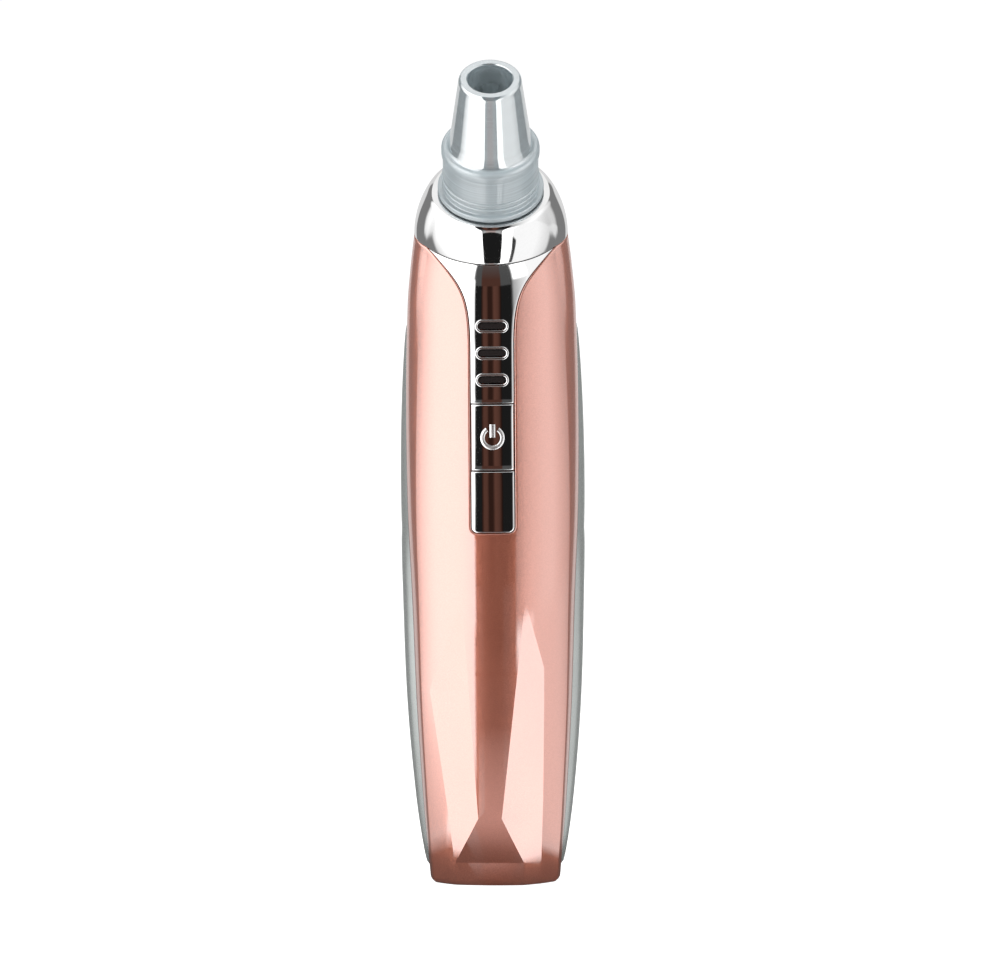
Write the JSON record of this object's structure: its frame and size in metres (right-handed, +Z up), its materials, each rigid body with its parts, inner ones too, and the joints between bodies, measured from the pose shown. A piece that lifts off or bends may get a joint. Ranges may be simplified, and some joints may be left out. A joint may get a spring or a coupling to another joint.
{
  "type": "pore vacuum",
  "caption": "Hand-held pore vacuum: rose-gold casing with a cut lower front, chrome strip with lights and power button, chrome nose ring and clear pull-off suction head.",
  "frame": {"origin": "middle of the flat base face", "axes": "+X to the right seen from the front, +Y to the back, +Z up; the strip and the nose face -Y"},
  "size_m": [0.0424, 0.0537, 0.1912],
  "materials": {
    "rose_paint": "rose-gold metallic lacquer under a clear coat",
    "chrome": "bright chrome plating on plastic",
    "silver": "darker silver plating on plastic",
    "smoke": "smoked translucent plastic",
    "clear_head": "clear grey-blue plastic",
    "white_plastic": "natural moulded plastic",
    "black_plastic": "black moulded plastic",
    "steel": "plain steel",
    "rubber": "black rubber",
    "silicone": "translucent silicone",
    "foam": "open-cell foam",
    "board": "green circuit board",
    "ferrite": "sintered ferrite",
    "cell_wrap": "blue shrink sleeve over the metal can",
    "red_lead": "red wire insulation",
    "black_lead": "black wire insulation"
  },
  "bodies": {
    "casing": {"front_shell": "rose_paint", "rear_shell": "rose_paint", "left_side_trim": "silver", "right_side_trim": "silver", "front_panel": "chrome", "lower_panel": "chrome", "nose_ring": "chrome", "led_lens_1": "smoke", "led_lens_2": "smoke", "led_lens_3": "smoke", "head_holder": "white_plastic", "seal_ring": "silicone", "filter_pad": "foam", "air_tube": "silicone", "motor_can": "steel", "motor_end_cap": "white_plastic", "motor_magnet_1": "ferrite", "motor_magnet_2": "ferrite", "motor_sleeve": "rubber", "pump_base": "black_plastic", "diaphragm": "rubber", "valve_plate": "white_plastic", "valve_flap": "rubber", "pump_cover": "black_plastic", "pump_screw_1": "steel", "pump_screw_2": "steel", "pump_screw_3": "steel", "main_board": "board", "board_screw_1": "steel", "board_screw_2": "steel", "board_screw_3": "steel", "board_screw_4": "steel", "switch_body": "black_plastic", "led_1": "white_plastic", "led_2": "white_plastic", "led_3": "white_plastic", "control_chip": "black_plastic", "battery_cell": "cell_wrap", "battery_tab_plus": "steel", "battery_tab_minus": "steel", "charge_socket": "steel", "socket_tongue": "black_plastic", "charge_board": "board", "battery_lead_red": "red_lead", "battery_lead_black": "black_lead", "charge_lead_red": "red_lead", "charge_lead_black": "black_lead", "motor_lead_red": "red_lead", "motor_lead_black": "black_lead"},
    "button": {"power_button": "chrome"},
    "plunger": {"switch_plunger": "white_plastic"},
    "head": {"suction_head": "clear_head"},
    "rotor": {"rotor_core": "steel", "motor_shaft": "steel", "eccentric_hub": "white_plastic", "drive_pin": "steel"},
    "wobbler": {"wobble_plate": "white_plastic"}
  },
  "joints": [
    {"name": "button_press", "type": "slide", "parent": "casing", "child": "button", "axis": [0, 1, 0], "range_m": [0, 0.0005], "stiffness_N_per_m": 800},
    {"name": "plunger_press", "type": "slide", "parent": "casing", "child": "plunger", "axis": [0, 1, 0], "range_m": [0, 0.0005]},
    {"name": "head_pull", "type": "slide", "parent": "casing", "child": "head", "axis": [0, -0.5736, 0.8192], "range_m": [0, 0.016]},
    {"name": "rotor_spin", "type": "hinge", "parent": "casing", "child": "rotor", "pos_m": [0, 0.00487, 0.0724], "axis": [0, 0, 1], "continuous": true},
    {"name": "plate_wobble", "type": "hinge", "parent": "casing", "child": "wobbler", "pos_m": [0, 0.00487, 0.1055], "axis": [1, 0, 0], "range_deg": [-3, 3], "stiffness_Nm_per_rad": 0.02, "deforming": ["diaphragm"]}
  ],
  "couplings": [
    {"joint": "plunger_press", "follows": "button_press", "ratio": 1}
  ]
}
